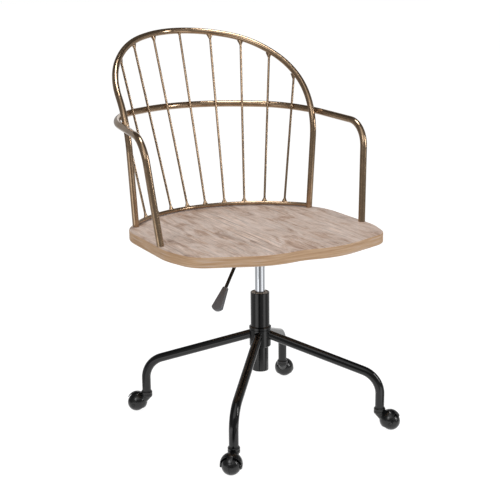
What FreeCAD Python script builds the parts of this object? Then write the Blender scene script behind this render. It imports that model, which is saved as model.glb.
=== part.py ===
import FreeCAD, Part
import math
import os
import re
import Sketcher

# Swivel armchair with a spindle back, on a gas column and a four-legged base with ball casters.
# Millimetres. +Z is up, -Y is the front, and +X is on the right of someone who faces the chair.
# The origin is on the floor, under the axis of the column.

DOC = FreeCAD.newDocument("swivel_chair")
SHEET = DOC.addObject("Spreadsheet::Sheet", "Sizes")
UP = FreeCAD.Vector(0, 0, 1)
ORIGIN = FreeCAD.Vector(0, 0, 0)

SIZES = [
    ("seat_top", 480.5, "height of the top of the seat above the floor"),
    ("seat_thick", 25, "thickness of the seat board"),
    ("seat_half", 277, "half width of the seat"),
    ("seat_round", 3, "rounding of the seat's long edges"),
    ("lobe_place", 84, "sideways place of each front lobe"),
    ("lobe_reach", 231, "how far ahead of the axis the lobe's corner lies"),
    ("lobe_bend", 200, "radius of a front lobe"),
    ("dip_reach", 216, "how far ahead of the axis the dip between the lobes lies"),
    ("dip_bend", 150, "radius of the dip"),
    ("corner_across", 250, "sideways place of a front corner"),
    ("corner_reach", 165, "how far ahead of the axis a front corner lies"),
    ("corner_bend", 70, "radius of a front corner"),
    ("side_start", 75, "how far ahead of the axis the straight side starts"),
    ("side_bend", 180, "radius where the corner runs into the side"),
    ("rear_blend", 150, "radius where the side runs into the round back"),
    ("rear_margin", 16, "wood behind the centre line of the lower rail"),
    ("barrel_centre", 3, "fore and aft place of the centre of the round back"),
    ("barrel_bend", 302, "radius of the lower rail"),
    ("hoop_tube", 16, "outer diameter of the hoop"),
    ("rail_tube", 17, "outer diameter of the arm rail"),
    ("tube_wall", 1.5, "wall of the hoop and of the arm rail"),
    ("hoop_foot_across", 241.7, "half distance between the feet of the hoop"),
    ("hoop_knee_across", 256.8, "half width of the hoop where its legs end"),
    ("hoop_knee_back", 183.1, "place behind the axis of the hoop's knee"),
    ("hoop_knee_height", "=seat_top + 257.2", "height of the hoop's knee"),
    ("shoulder_across", 254, "half width of the hoop's shoulder"),
    ("shoulder_back", 286.5, "place behind the axis of the hoop's shoulder"),
    ("shoulder_height", "=seat_top + 360.4", "height of the hoop's shoulder"),
    ("temple_across", 172.8, "half width of the hoop's temple"),
    ("temple_back", 387.6, "place behind the axis of the hoop's temple"),
    ("temple_height", "=seat_top + 429.7", "height of the hoop's temple"),
    ("crown_across", 56.4, "half width of the hoop's crown"),
    ("crown_back", 453.6, "place behind the axis of the hoop's crown"),
    ("crown_height", "=seat_top + 451.3", "height of the hoop's crown"),
    ("arm_foot_across", 266.6, "half distance between the feet of the arm rail"),
    ("arm_foot_ahead", 32.4, "how far ahead of the axis the arm rail's feet stand"),
    ("arm_front_across", 290.6, "half width of the arm rail at its front bend"),
    ("arm_front_back", 0.2, "place behind the axis of the front bend"),
    ("arm_front_height", "=seat_top + 238.1", "height of the arm rail's front bend"),
    ("arm_front_run", 57, "length that the front bend takes from each of its runs"),
    ("arm_side_across", 271.2, "half width of the arm rail beside the hoop"),
    ("arm_side_back", 229, "place behind the axis of the arm rail's side bend"),
    ("arm_side_height", "=seat_top + 251.1", "height of the arm rail's side bend"),
    ("arm_quarter_across", 213.8, "half width of the arm rail's quarter bend"),
    ("arm_quarter_back", 318, "place behind the axis of the quarter bend"),
    ("arm_quarter_height", "=seat_top + 258.8", "height of the quarter bend"),
    ("arm_rear_across", 71.9, "half width of the arm rail's rear bend"),
    ("arm_rear_back", 402.2, "place behind the axis of the arm rail's rear bend"),
    ("arm_rear_height", "=seat_top + 261.1", "height of the arm rail's rear bend"),
    ("lower_rod", 10, "diameter of the lower rail"),
    ("lower_gap", 1.5, "space between the lower rail and the seat"),
    ("spindle_rod", 6, "diameter of a spindle"),
    ("spindle_foot_step", 10.1, "angle between the feet of two spindles, in degrees"),
    ("spindle_head_step", 10.6, "angle between the heads of two spindles, in degrees"),
    ("weld_flare", 2, "how much a weld widens a spindle's end"),
    ("weld_height", 5, "length of a spindle's weld beyond the tube"),
    ("foot_depth", 12, "depth of the hole in the seat that a frame foot stands in"),
    ("foot_gap", 0.1, "space round a frame foot in its hole"),
    ("plug_long", 22, "length of the threaded plug in a frame foot"),
    ("frame_bolt", 6, "thread diameter of a frame bolt"),
    ("bolt_grip", 8, "wood between a bolt head and a frame foot"),
    ("bolt_in_plug", 16, "length of a frame bolt inside its plug"),
    ("bolt_head_across", 11, "diameter of a bolt head"),
    ("bolt_head_high", 4, "height of a bolt head"),
    ("bolt_recess", 13, "diameter of the recess for a bolt head"),
    ("fit_gap", 0.05, "space between two pieces that are pressed together"),
    ("run_gap", 0.1, "space between two pieces that run on each other"),
    ("tube_outer", 46, "outer diameter of the column's outer tube"),
    ("tube_thick", 2, "wall of the column's outer tube"),
    ("tube_rim", 329.8, "height of the top of the outer tube"),
    ("tube_foot", 132.4, "height of the bottom of the outer tube"),
    ("tube_lower", 40, "outer diameter of the outer tube below the hub"),
    ("hub_outer", 52, "outer diameter of the hub"),
    ("hub_top", 238, "height of the top of the hub"),
    ("hub_foot", 194, "height of the bottom of the hub"),
    ("hub_edge", 1.5, "chamfer of the hub's edges"),
    ("ring_high", 7.4, "height of the ring on top of the hub"),
    ("ring_outer", 53.5, "outer diameter of the ring on top of the hub"),
    ("leg_tube", 22, "outer diameter of a leg"),
    ("leg_wall", 1.5, "wall of a leg"),
    ("leg_reach", 293.9, "distance of a leg's end from the column's axis"),
    ("leg_root", 230.4, "height at which a leg's line would meet the axis"),
    ("leg_slope", 18.52, "fall of a leg, in degrees"),
    ("leg_bend", 60, "radius of a leg's bend"),
    ("leg_end", 55.5, "height of a leg's open end"),
    ("leg_turn", -39.3, "direction of the right leg, in degrees from the right"),
    ("rod_outer", 24, "outer diameter of the chromed cylinder"),
    ("rod_wall", 2, "wall of the chromed cylinder"),
    ("rod_top", "=seat_top - 48.8", "height of the top of the chromed cylinder"),
    ("rod_foot", 211, "height of the bottom of the chromed cylinder"),
    ("gland_high", 10, "height of the cylinder's bottom gland"),
    ("cap_high", 6, "height of the cylinder's top"),
    ("bush_high", 60, "height of the guide bush"),
    ("bush_drop", 0.8, "how far the guide bush lies below the tube's rim"),
    ("piston_rod", 8, "diameter of the piston rod"),
    ("piston_neck", 6, "diameter of the piston rod's lower end"),
    ("piston_top", 276, "height of the top of the piston"),
    ("piston_high", 10, "height of the piston"),
    ("plate_foot", 136.5, "height of the underside of the tube's end plate"),
    ("end_plate_high", 4, "thickness of the tube's end plate"),
    ("bearing_high", 5, "height of the thrust bearing"),
    ("bearing_outer", 26, "outer diameter of the thrust bearing"),
    ("washer_high", 1.5, "thickness of the thrust washer"),
    ("clip_high", 1.2, "thickness of the retaining clip"),
    ("clip_outer", 13, "outer diameter of the retaining clip"),
    ("groove_deep", 0.7, "depth of the groove for the retaining clip"),
    ("pin_outer", 6, "diameter of the release pin"),
    ("pin_show", 5, "height of the release pin above the cylinder"),
    ("pin_long", 14, "length of the release pin"),
    ("plate_long", 170, "length of the mechanism plate, front to back"),
    ("plate_wide", 130, "width of the mechanism plate"),
    ("plate_thick", 3, "thickness of the mechanism plate"),
    ("bolts_long", 140, "distance between the seat screws, front to back"),
    ("bolts_wide", 100, "distance between the seat screws, side to side"),
    ("plate_corner", 12, "corner radius of the mechanism plate"),
    ("box_long", 86, "length of the mechanism box"),
    ("box_wide", 60, "width of the mechanism box"),
    ("box_high", 24, "depth of the mechanism box"),
    ("box_wall", 2.5, "wall of the mechanism box"),
    ("box_corner", 8, "corner radius of the mechanism box"),
    ("socket_outer", 35, "outer diameter of the column socket"),
    ("socket_mouth", 31, "outer diameter of the column socket at its mouth"),
    ("socket_foot", "=seat_top - 84.5", "height of the bottom of the column socket"),
    ("insert_outer", 9, "outer diameter of a threaded insert"),
    ("insert_long", 14, "length of a threaded insert"),
    ("screw_thread", 6, "diameter of a seat screw"),
    ("screw_long", 14, "length of a seat screw"),
    ("screw_head", 12, "diameter of a seat screw's head"),
    ("screw_head_high", 3.6, "height of a seat screw's head"),
    ("lever_rod", 8, "diameter of the lever rod"),
    ("lever_height", "=seat_top - 39.5", "height of the straight part of the lever rod"),
    ("lever_inner", 5, "length of the lever rod beyond the column's axis"),
    ("lever_pivot", 46, "distance of the lever's pivot from the column's axis"),
    ("lever_elbow", 77, "distance of the lever's bend from the column's axis"),
    ("lever_bend", 28, "radius of the lever's bend"),
    ("lever_fall", 50.7, "fall of the lever beyond its bend, in degrees"),
    ("lever_down", 91, "distance from the lever's bend to its paddle"),
    ("lever_spigot", 24, "length of the lever rod inside its paddle"),
    ("spigot_rod", 6, "diameter of the lever rod inside its paddle"),
    ("lever_turn", 206.6, "direction in which the lever points, in degrees"),
    ("pivot_pin", 4, "diameter of the lever's pivot pin"),
    ("cheek_thick", 3, "thickness of a cheek of the lever's bracket"),
    ("cheek_gap", 0.4, "space between the lever rod and a cheek"),
    ("cheek_long", 16, "length of a cheek"),
    ("cheek_drop", 17, "depth of a cheek below the mechanism plate"),
    ("paddle_long", 60, "length of the lever's paddle"),
    ("paddle_wide", 29, "width of the paddle at its broad end"),
    ("paddle_narrow", 12, "width of the paddle at its neck"),
    ("paddle_thick", 10.5, "thickness of the paddle"),
    ("paddle_round", 2.5, "rounding of the paddle's edges"),
    ("ball", 44, "diameter of a caster's ball"),
    ("ball_split", 0.8, "space between the two halves of a ball"),
    ("ball_flat", 20.6, "distance of a wheel's flat end from the middle of the ball"),
    ("trail", 27.85, "distance of the ball from the swivel axis"),
    ("hood_inner", 23.9, "inner radius of the hood"),
    ("hood_wall", 1.6, "thickness of the hood"),
    ("hood_back", 2.2, "how far the hood's middle lies inward of the ball's"),
    ("hood_up", 3.2, "how far the hood's middle lies above the ball's"),
    ("hood_rim", 66, "tilt of the hood's open side, in degrees from level"),
    ("hood_low", 11, "how far the hood reaches below the axle"),
    ("tongue_half", 6.5, "half width of the tongue over the ball"),
    ("tongue_end", 36, "angle above level at which the tongue ends, in degrees"),
    ("ear_radius", 6.5, "radius of the hood's ears round the axle"),
    ("ear_side", 24.6, "distance of an ear's flat from the middle of the ball"),
    ("ear_wall", 2.8, "thickness of an ear"),
    ("axle", 4, "diameter of a caster's axle"),
    ("axle_head", 7, "diameter of an axle's head"),
    ("axle_head_high", 0.9, "height of an axle's head"),
    ("boss_outer", 28, "diameter of a caster's boss"),
    ("boss_high", 13, "height of a caster's boss"),
    ("boss_groove", 0.8, "depth of the groove round a boss"),
    ("neck_outer", 24.6, "diameter of a caster's neck"),
    ("neck_fall", 48, "fall of a caster's neck, in degrees"),
    ("neck_long", 32, "length of a caster's neck"),
    ("neck_start", 5, "how far behind the swivel axis the neck starts"),
    ("flange_room", 0.8, "space round a socket's flange beside the hood"),
    ("stem", 8, "diameter of a caster's stem"),
    ("stem_up", 26, "length of the stem above the boss"),
    ("stem_down", 11, "length of the stem inside the boss"),
    ("socket_flange", 24, "diameter of the flange of a caster's socket"),
    ("flange_high", 1.7, "thickness of that flange"),
    ("socket_up", 30, "length of a caster's socket in the leg"),
    ("swivel_gap", 0.3, "space between a caster's boss and its socket"),
]

WORD = re.compile(r"[a-z_]+")
MATHS = ("sin", "cos", "tan", "sqrt")
LEGS = ("right", "rear", "left", "front")
SPINDLES = 9


def fill_sheet():
    for row, (alias, value, note) in enumerate(SIZES, 1):
        SHEET.set("A%d" % row, note)
        SHEET.set("B%d" % row, str(value))
        SHEET.setAlias("B%d" % row, alias)
    DOC.recompute()


def bound(text):
    """An expression on sizes, written the way the spreadsheet's readers want it."""
    def prefix(word):
        name = word.group(0)
        return name if name in MATHS else "Sizes." + name
    return WORD.sub(prefix, text)


def number(text):
    """The value of an expression on sizes."""
    return float(SHEET.evalExpression(bound(text)))


def vector(x, y, z):
    return FreeCAD.Vector(number(x), number(y), number(z))


# Parametric bodies

def new_body(label):
    body = DOC.addObject("PartDesign::Body", label)
    body.Label = label
    return body


def origin_plane(body, role):
    for feature in body.Origin.OriginFeatures:
        if feature.Role == role:
            return feature
    raise RuntimeError("no plane " + role)


def new_sketch(body, role, height="0"):
    sketch = body.newObject("Sketcher::SketchObject", "outline")
    sketch.AttachmentSupport = [(origin_plane(body, role), "")]
    sketch.MapMode = "FlatFace"
    if height != "0":
        sketch.setExpression("AttachmentOffset.Base.z", bound(height))
    return sketch


def pin_point(sketch, item, end, x, y):
    """Hold one point of a sketch at two expressions."""
    for kind, axis, text in (("DistanceX", -2, x), ("DistanceY", -1, y)):
        if text == "0":
            sketch.addConstraint(Sketcher.Constraint("PointOnObject", item, end, axis))
        else:
            rule = Sketcher.Constraint(kind, -1, 1, item, end, number(text))
            index = sketch.addConstraint(rule)
            sketch.setExpression("Constraints[%d]" % index, bound(text))


def draw_polygon(sketch, corners):
    points = [vector(x, y, "0") for x, y in corners]
    first = sketch.GeometryCount
    count = len(points)
    for i in range(count):
        sketch.addGeometry(Part.LineSegment(points[i], points[(i + 1) % count]), False)
    for i in range(count):
        following = first + (i + 1) % count
        sketch.addConstraint(Sketcher.Constraint("Coincident", first + i, 2, following, 1))
    for i, (x, y) in enumerate(corners):
        pin_point(sketch, first + i, 1, x, y)


def draw_circle(sketch, x, y, radius):
    circle = Part.Circle(vector(x, y, "0"), UP, number(radius))
    item = sketch.addGeometry(circle, False)
    pin_point(sketch, item, 3, x, y)
    index = sketch.addConstraint(Sketcher.Constraint("Radius", item, number(radius)))
    sketch.setExpression("Constraints[%d]" % index, bound(radius))
    return item


def revolve(body, sketch):
    turned = body.newObject("PartDesign::Revolution", "turned")
    turned.Profile = sketch
    turned.ReferenceAxis = (sketch, ["V_Axis"])
    turned.Angle = 360
    return turned


def turned_body(label, corners):
    """A piece turned about the column's axis. Corners are radius and height."""
    body = new_body(label)
    sketch = new_sketch(body, "XZ_Plane")
    draw_polygon(sketch, corners)
    revolve(body, sketch)
    return body


def pad(body, sketch, length, down=False):
    block = body.newObject("PartDesign::Pad", "block")
    block.Profile = sketch
    block.setExpression("Length", bound(length))
    block.Reversed = down
    return block


def pocket(body, sketch, length=None, up=False):
    hole = body.newObject("PartDesign::Pocket", "hole")
    hole.Profile = sketch
    if length is None:
        hole.Type = "ThroughAll"
        hole.Midplane = True
    else:
        hole.setExpression("Length", bound(length))
        hole.Reversed = up
    return hole


def plain_piece(label, shape):
    piece = DOC.addObject("Part::Feature", label)
    piece.Label = label
    piece.Shape = shape
    return piece


# Bent tubes

def corner_points(before, corner, after, reach):
    """Start, middle and end of the arc that rounds a corner, `reach` from it on both runs."""
    back = (before - corner).normalize()
    on = (after - corner).normalize()
    turn = math.pi - back.getAngle(on)
    radius = reach / math.tan(turn / 2)
    inward = (back + on).normalize()
    middle = corner + inward * (radius / math.cos(turn / 2) - radius)
    return corner + back * reach, middle, corner + on * reach


def bent_path(points, reaches):
    """A wire of straight runs and tangent arcs through a list of corners."""
    edges = []
    here = points[0]
    for i in range(1, len(points) - 1):
        start, middle, end = corner_points(points[i - 1], points[i], points[i + 1], reaches[i])
        if here.distanceToPoint(start) > 0.01:
            edges.append(Part.LineSegment(here, start).toShape())
        edges.append(Part.Arc(start, middle, end).toShape())
        here = end
    edges.append(Part.LineSegment(here, points[-1]).toShape())
    return Part.Wire(edges)


def widest_reaches(points, fixed=None):
    """How far each bend may take up its two runs, so that bends meet in the middle of a run."""
    lengths = [a.distanceToPoint(b) for a, b in zip(points[:-1], points[1:])]
    last = len(points) - 1
    reaches = [0.0] * len(points)
    for i in range(1, last):
        before = lengths[i - 1] * (0.9 if i == 1 else 0.4999)
        after = lengths[i] * (0.9 if i == last - 1 else 0.4999)
        reaches[i] = min(before, after)
    for i, reach in (fixed or {}).items():
        reaches[i] = min(reaches[i], reach)
        reaches[last - i] = min(reaches[last - i], reach)
    return reaches


def swept(wire, radius):
    start = wire.Vertexes[0].Point
    edge = wire.Edges[0]
    direction = edge.tangentAt(edge.FirstParameter)
    profile = Part.Wire([Part.Circle(start, direction, radius).toShape()])
    return wire.makePipeShell([profile], True, True)


def hollow(wire, diameter, wall):
    return swept(wire, diameter / 2).cut(swept(wire, diameter / 2 - wall))


def mirrored(points):
    """A list of corners on the right, continued on the left."""
    left = [FreeCAD.Vector(-p.x, p.y, p.z) for p in reversed(points)]
    return points + left


# Back frame

def hoop_path():
    foot_back = "barrel_centre + sqrt(barrel_bend ^ 2 - hoop_foot_across ^ 2)"
    half = [
        vector("hoop_foot_across", foot_back, "seat_top - foot_depth"),
        vector("hoop_knee_across", "hoop_knee_back", "hoop_knee_height"),
        vector("shoulder_across", "shoulder_back", "shoulder_height"),
        vector("temple_across", "temple_back", "temple_height"),
        vector("crown_across", "crown_back", "crown_height"),
    ]
    points = mirrored(half)
    return bent_path(points, widest_reaches(points))


def arm_path():
    half = [
        vector("arm_foot_across", "-arm_foot_ahead", "seat_top - foot_depth"),
        vector("arm_front_across", "arm_front_back", "arm_front_height"),
        vector("arm_side_across", "arm_side_back", "arm_side_height"),
        vector("arm_quarter_across", "arm_quarter_back", "arm_quarter_height"),
        vector("arm_rear_across", "arm_rear_back", "arm_rear_height"),
    ]
    points = mirrored(half)
    return bent_path(points, widest_reaches(points, {1: number("arm_front_run")}))


def on_barrel(angle, height):
    """A point of the lower rail's circle, at an angle from straight back."""
    radius = number("barrel_bend")
    turn = math.radians(angle)
    across = radius * math.sin(turn)
    back = number("barrel_centre") + radius * math.cos(turn)
    return FreeCAD.Vector(across, back, height)


def lower_rail_shape(hoop_solid):
    height = number("seat_top + lower_gap + lower_rod / 2")
    reach = math.degrees(math.asin(number("hoop_foot_across / barrel_bend")))
    arc = Part.Arc(on_barrel(reach, height), on_barrel(0, height), on_barrel(-reach, height))
    rod = swept(Part.Wire([arc.toShape()]), number("lower_rod / 2"))
    return rod.cut(hoop_solid)


def hoop_point(path_points, angle):
    """Where the hoop crosses the upright plane that stands at this angle from straight back."""
    centre = number("barrel_centre")
    goal = math.radians(angle)
    for a, b in zip(path_points[:-1], path_points[1:]):
        from_a = math.atan2(a.x, a.y - centre) - goal
        from_b = math.atan2(b.x, b.y - centre) - goal
        if from_a >= 0 >= from_b and a.z > number("hoop_knee_height"):
            return a + (b - a) * (from_a / (from_a - from_b))
    raise RuntimeError("no hoop over the spindle")


def spindle_shape(foot, head, neighbours):
    line = head - foot
    length = line.Length
    radius = number("spindle_rod / 2")
    flare = number("weld_flare")
    high = number("weld_height")
    foot_inside = number("lower_rod / 2")
    head_inside = number("hoop_tube / 2")
    rod = Part.makeCylinder(radius, length, foot, line)
    low = Part.makeCone(radius + flare, radius, foot_inside + high, foot, line)
    top = Part.makeCone(radius + flare, radius, head_inside + high, head, line * -1)
    return rod.fuse([low, top]).removeSplitter().cut(neighbours)


def keep_largest(shape):
    return max(shape.Solids, key=lambda solid: solid.Volume)


def build_back():
    hoop = hoop_path()
    arm = arm_path()
    hoop_solid = swept(hoop, number("hoop_tube / 2"))
    plain_piece("hoop", hollow(hoop, number("hoop_tube"), number("tube_wall")))
    plain_piece("arm_rail", hollow(arm, number("rail_tube"), number("tube_wall")))
    lower = keep_largest(lower_rail_shape(hoop_solid))
    plain_piece("lower_rail", lower)
    trace = hoop.discretize(Number=3000)
    height = number("seat_top + lower_gap + lower_rod / 2")
    middle = SPINDLES // 2
    for i in range(SPINDLES):
        foot = on_barrel((middle - i) * number("spindle_foot_step"), height)
        head = hoop_point(trace, (middle - i) * number("spindle_head_step"))
        rod = keep_largest(spindle_shape(foot, head, [hoop_solid, lower]))
        plain_piece("spindle_%d" % (i + 1), rod)
        away = arm.distToShape(Part.LineSegment(foot, head).toShape())[0]
        ends = [round(value, 1) for value in (*foot, *head)]
        print("spindle", i + 1, "ends", ends, "and clears the arm rail by",
              round(away - number("rail_tube / 2 + spindle_rod / 2"), 2))
    side = hoop.distToShape(arm)[0] - number("rail_tube / 2 + hoop_tube / 2")
    print("the hoop clears the arm rail by", round(side, 2))


def frame_feet():
    """Foot points and the directions in which the four tubes rise."""
    feet = []
    for path in (hoop_path(), arm_path()):
        for edge, end in ((path.Edges[0], 0), (path.Edges[-1], 1)):
            first = edge.valueAt(edge.FirstParameter)
            last = edge.valueAt(edge.LastParameter)
            low, high = (first, last) if first.z < last.z else (last, first)
            feet.append((low, (high - low).normalize()))
    return feet


# Feet of the frame

def frame_feet():
    """Each foot of the two bent tubes: its point, the direction it rises in, and its tube."""
    feet = []
    for path, tube in ((hoop_path(), "hoop_tube"), (arm_path(), "rail_tube")):
        for edge in (path.Edges[0], path.Edges[-1]):
            first = edge.valueAt(edge.FirstParameter)
            last = edge.valueAt(edge.LastParameter)
            low, high = (first, last) if first.z < last.z else (last, first)
            feet.append((low, (high - low).normalize(), number(tube)))
    return feet


def rod_along(radius, foot, rise, start, end):
    return Part.makeCylinder(radius, end - start, foot + rise * start, rise)


def build_frame_fasteners():
    plugs = []
    bolts = []
    grip = number("bolt_grip")
    thread = number("frame_bolt / 2")
    for foot, rise, tube in frame_feet():
        outer = tube / 2 - number("tube_wall + fit_gap")
        plug = rod_along(outer, foot, rise, 0, number("plug_long"))
        plugs.append(plug.cut(rod_along(thread + number("fit_gap"), foot, rise, -1, 40)))
        shank = rod_along(thread, foot, rise, -grip, number("bolt_in_plug"))
        low = -grip - number("bolt_head_high")
        head = rod_along(number("bolt_head_across / 2"), foot, rise, low, -grip)
        key = hexagon(number("bolt_head_across / 4"), 2.2)
        key.Placement = along(foot + rise * (low - 0.1), rise)
        bolts.append(shank.fuse(head).removeSplitter().cut(key))
    plain_piece("frame_plugs", Part.makeCompound(plugs))
    plain_piece("frame_bolts", Part.makeCompound(bolts))


def hexagon(radius, high):
    corners = [FreeCAD.Vector(radius * math.cos(math.radians(60 * i)),
                              radius * math.sin(math.radians(60 * i)), 0) for i in range(7)]
    return Part.Face(Part.makePolygon(corners)).extrude(FreeCAD.Vector(0, 0, high))


def along(point, direction):
    return FreeCAD.Placement(point, FreeCAD.Rotation(UP, direction))


# Seat

def seat_corners():
    """Corners of the right half of the seat's edge, from the dip to the side, and their radii."""
    corners = [
        vector("0", "-dip_reach", "0"),
        vector("lobe_place", "-lobe_reach", "0"),
        vector("corner_across", "-corner_reach", "0"),
        vector("seat_half", "-side_start", "0"),
    ]
    return corners, ["dip_bend", "lobe_bend", "corner_bend", "side_bend"]


def rear_blend_points():
    """Start, middle and end of the arc between the straight side and the round back."""
    centre = vector("0", "barrel_centre", "0")
    outer = number("barrel_bend + rear_margin")
    blend = number("rear_blend")
    side = number("seat_half")
    y = centre.y + math.sqrt((outer - blend) ** 2 - (side - blend) ** 2)
    pivot = FreeCAD.Vector(side - blend, y, 0)
    out = (pivot - centre).normalize()
    half_way = (out + FreeCAD.Vector(1, 0, 0)).normalize()
    return FreeCAD.Vector(side, y, 0), pivot + half_way * blend, centre + out * outer


def flip(point):
    return FreeCAD.Vector(-point.x, point.y, point.z)


def seat_curves():
    corners, bends = seat_corners()
    side_end, blend_middle, blend_end = rear_blend_points()
    corners = [flip(corners[1])] + corners + [side_end]
    curves = []
    here = None
    for i in range(1, 5):
        before, corner, after = corners[i - 1:i + 2]
        turn = math.pi - (before - corner).getAngle(after - corner)
        reach = number(bends[i - 1]) * math.tan(turn / 2)
        start, middle, end = corner_points(before, corner, after, reach)
        if here is None:
            curves.append(Part.Arc(start, middle, end))
        else:
            curves.append(Part.LineSegment(here, start))
            curves.append(Part.LineSegment(flip(here), flip(start)))
            curves.append(Part.Arc(start, middle, end))
            curves.append(Part.Arc(flip(start), flip(middle), flip(end)))
        here = end
    curves.append(Part.LineSegment(here, side_end))
    curves.append(Part.LineSegment(flip(here), flip(side_end)))
    curves.append(Part.Arc(side_end, blend_middle, blend_end))
    curves.append(Part.Arc(flip(side_end), flip(blend_middle), flip(blend_end)))
    rear = vector("0", "barrel_centre + barrel_bend + rear_margin", "0")
    curves.append(Part.Arc(blend_end, rear, flip(blend_end)))
    return curves


def seat_board():
    body = new_body("seat_board")
    outline = new_sketch(body, "XY_Plane", "seat_top")
    for curve in seat_curves():
        outline.addGeometry(curve, False)
    board = pad(body, outline, "seat_thick", down=True)
    DOC.recompute()
    rims = []
    for i, edge in enumerate(board.Shape.Edges, 1):
        heights = [vertex.Point.z for vertex in edge.Vertexes]
        if max(heights) - min(heights) < 0.01:
            rims.append("Edge%d" % i)
    softened = body.newObject("PartDesign::Fillet", "softened")
    softened.Base = (board, rims)
    softened.setExpression("Radius", bound("seat_round"))
    DOC.recompute()
    holes = new_sketch(body, "XY_Plane", "seat_top - seat_thick")
    for across in ("bolts_wide / 2", "-bolts_wide / 2"):
        for back in ("bolts_long / 2", "-bolts_long / 2"):
            draw_circle(holes, across, back, "insert_outer / 2 + fit_gap")
    pocket(body, holes, "insert_long + 1", up=True)
    DOC.recompute()
    return body


def build_seat():
    board = seat_board()
    tools = []
    for foot, rise, tube in frame_feet():
        tools.append(rod_along(tube / 2 + number("foot_gap"), foot, rise, 0, 60))
        tools.append(rod_along(number("frame_bolt / 2 + run_gap"), foot, rise, -40, 1))
        tools.append(rod_along(number("bolt_recess / 2"), foot, rise, -40, -number("bolt_grip")))
    drilled = DOC.addObject("Part::Cut", "seat_panel")
    drilled.Label = "seat_panel"
    drills = DOC.addObject("Part::Feature", "drills")
    drills.Shape = Part.makeCompound(tools)
    drilled.Base = board
    drilled.Tool = drills
    DOC.recompute()


# Column

def build_column():
    bore = "tube_outer / 2 + fit_gap"
    low_bore = "tube_lower / 2 + fit_gap"
    turned_body("hub", [
        (low_bore, "hub_foot"), ("hub_outer / 2 - hub_edge", "hub_foot"),
        ("hub_outer / 2", "hub_foot + hub_edge"), ("hub_outer / 2", "hub_top - hub_edge"),
        ("hub_outer / 2 - hub_edge", "hub_top"), (bore, "hub_top")])
    turned_body("hub_ring", [
        (bore, "hub_top"), ("ring_outer / 2", "hub_top"),
        ("ring_outer / 2", "hub_top + ring_high - 2"),
        ("tube_outer / 2 + 0.6", "hub_top + ring_high"), (bore, "hub_top + ring_high")])
    turned_body("column_tube", [
        ("tube_lower / 2 - tube_thick", "tube_foot"), ("tube_lower / 2", "tube_foot"),
        ("tube_lower / 2", "hub_foot"), ("tube_outer / 2", "hub_top"),
        ("tube_outer / 2", "tube_rim - 0.8"), ("tube_outer / 2 - 0.8", "tube_rim"),
        ("tube_outer / 2 - tube_thick", "tube_rim"), ("tube_outer / 2 - tube_thick", "hub_top"),
        ("tube_lower / 2 - tube_thick", "hub_foot")])
    top = "tube_rim - bush_drop"
    turned_body("guide_bush", [
        ("rod_outer / 2 + run_gap", top + " - bush_high"),
        ("tube_outer / 2 - tube_thick - fit_gap", top + " - bush_high"),
        ("tube_outer / 2 - tube_thick - fit_gap", top),
        ("rod_outer / 2 + run_gap + 1", top), ("rod_outer / 2 + run_gap", top + " - 1")])
    plate_top = "plate_foot + end_plate_high"
    turned_body("end_plate", [
        ("piston_neck / 2 + run_gap", "plate_foot"),
        ("tube_lower / 2 - tube_thick - fit_gap", "plate_foot"),
        ("tube_lower / 2 - tube_thick - fit_gap", plate_top),
        ("piston_neck / 2 + run_gap", plate_top)])
    turned_body("thrust_bearing", [
        ("piston_neck / 2 + run_gap", plate_top), ("bearing_outer / 2", plate_top),
        ("bearing_outer / 2", plate_top + " + bearing_high * 0.38"),
        ("bearing_outer / 2 - 1.5", plate_top + " + bearing_high * 0.38"),
        ("bearing_outer / 2 - 1.5", plate_top + " + bearing_high * 0.62"),
        ("bearing_outer / 2", plate_top + " + bearing_high * 0.62"),
        ("bearing_outer / 2", plate_top + " + bearing_high"),
        ("piston_neck / 2 + run_gap", plate_top + " + bearing_high")])


def build_gas_spring():
    washer = "plate_foot + end_plate_high + bearing_high + run_gap"
    shoulder = washer + " + washer_high"
    turned_body("thrust_washer", [
        ("piston_neck / 2 + fit_gap", washer), ("bearing_outer / 2", washer),
        ("bearing_outer / 2", shoulder), ("piston_neck / 2 + fit_gap", shoulder)])
    clip = "plate_foot - run_gap"
    turned_body("retaining_clip", [
        ("piston_neck / 2 - groove_deep + fit_gap", clip + " - clip_high"),
        ("clip_outer / 2", clip + " - clip_high"), ("clip_outer / 2", clip),
        ("piston_neck / 2 - groove_deep + fit_gap", clip)])
    turned_body("piston_rod", [
        ("0", clip + " - clip_high - 1.5"), ("piston_neck / 2", clip + " - clip_high - 1.5"),
        ("piston_neck / 2", clip + " - clip_high"),
        ("piston_neck / 2 - groove_deep", clip + " - clip_high"),
        ("piston_neck / 2 - groove_deep", clip),
        ("piston_neck / 2", clip), ("piston_neck / 2", shoulder),
        ("piston_rod / 2", shoulder), ("piston_rod / 2", "piston_top - piston_high"),
        ("rod_outer / 2 - rod_wall - run_gap", "piston_top - piston_high"),
        ("rod_outer / 2 - rod_wall - run_gap", "piston_top"), ("0", "piston_top")])
    inner = "rod_outer / 2 - rod_wall"
    turned_body("gas_cylinder", [
        ("piston_rod / 2 + run_gap", "rod_foot"), ("rod_outer / 2 - 0.8", "rod_foot"),
        ("rod_outer / 2", "rod_foot + 0.8"), ("rod_outer / 2", "rod_top - 1.5"),
        ("rod_outer / 2 - 1.5", "rod_top"), ("pin_outer / 2 + run_gap", "rod_top"),
        ("pin_outer / 2 + run_gap", "rod_top - cap_high"), (inner, "rod_top - cap_high"),
        (inner, "rod_foot + gland_high"), ("piston_rod / 2 + run_gap", "rod_foot + gland_high")])
    tip = "rod_top + pin_show"
    turned_body("release_pin", [
        ("0", tip + " - pin_long"), ("pin_outer / 2", tip + " - pin_long"),
        ("pin_outer / 2", tip + " - 1"), ("pin_outer / 2 - 1", tip), ("0", tip)])


# Mechanism under the seat

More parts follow.
